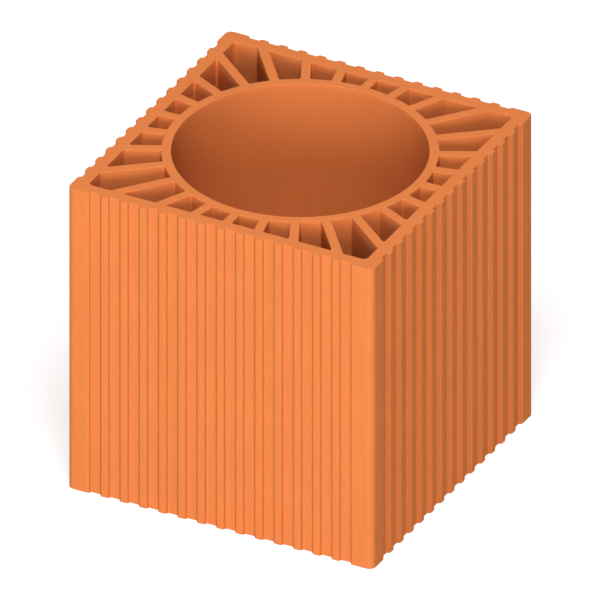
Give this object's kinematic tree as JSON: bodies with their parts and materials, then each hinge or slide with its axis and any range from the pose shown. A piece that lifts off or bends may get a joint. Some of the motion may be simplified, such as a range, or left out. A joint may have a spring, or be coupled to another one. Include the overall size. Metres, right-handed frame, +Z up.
{
  "type": "hollow clay block",
  "caption": "Square hollow clay block with upright ribs outside, a wide round bore through it and open radial cells between thin webs.",
  "frame": {"origin": "middle of the lower bed face, on the bore's axis", "axes": "+Z up along the bore, X and Y square to the ribbed sides"},
  "size_m": [0.246, 0.246, 0.249],
  "materials": {
    "fired_clay": "matte"
  },
  "bodies": {
    "root": {"clay_block": "fired_clay"}
  },
  "joints": []
}
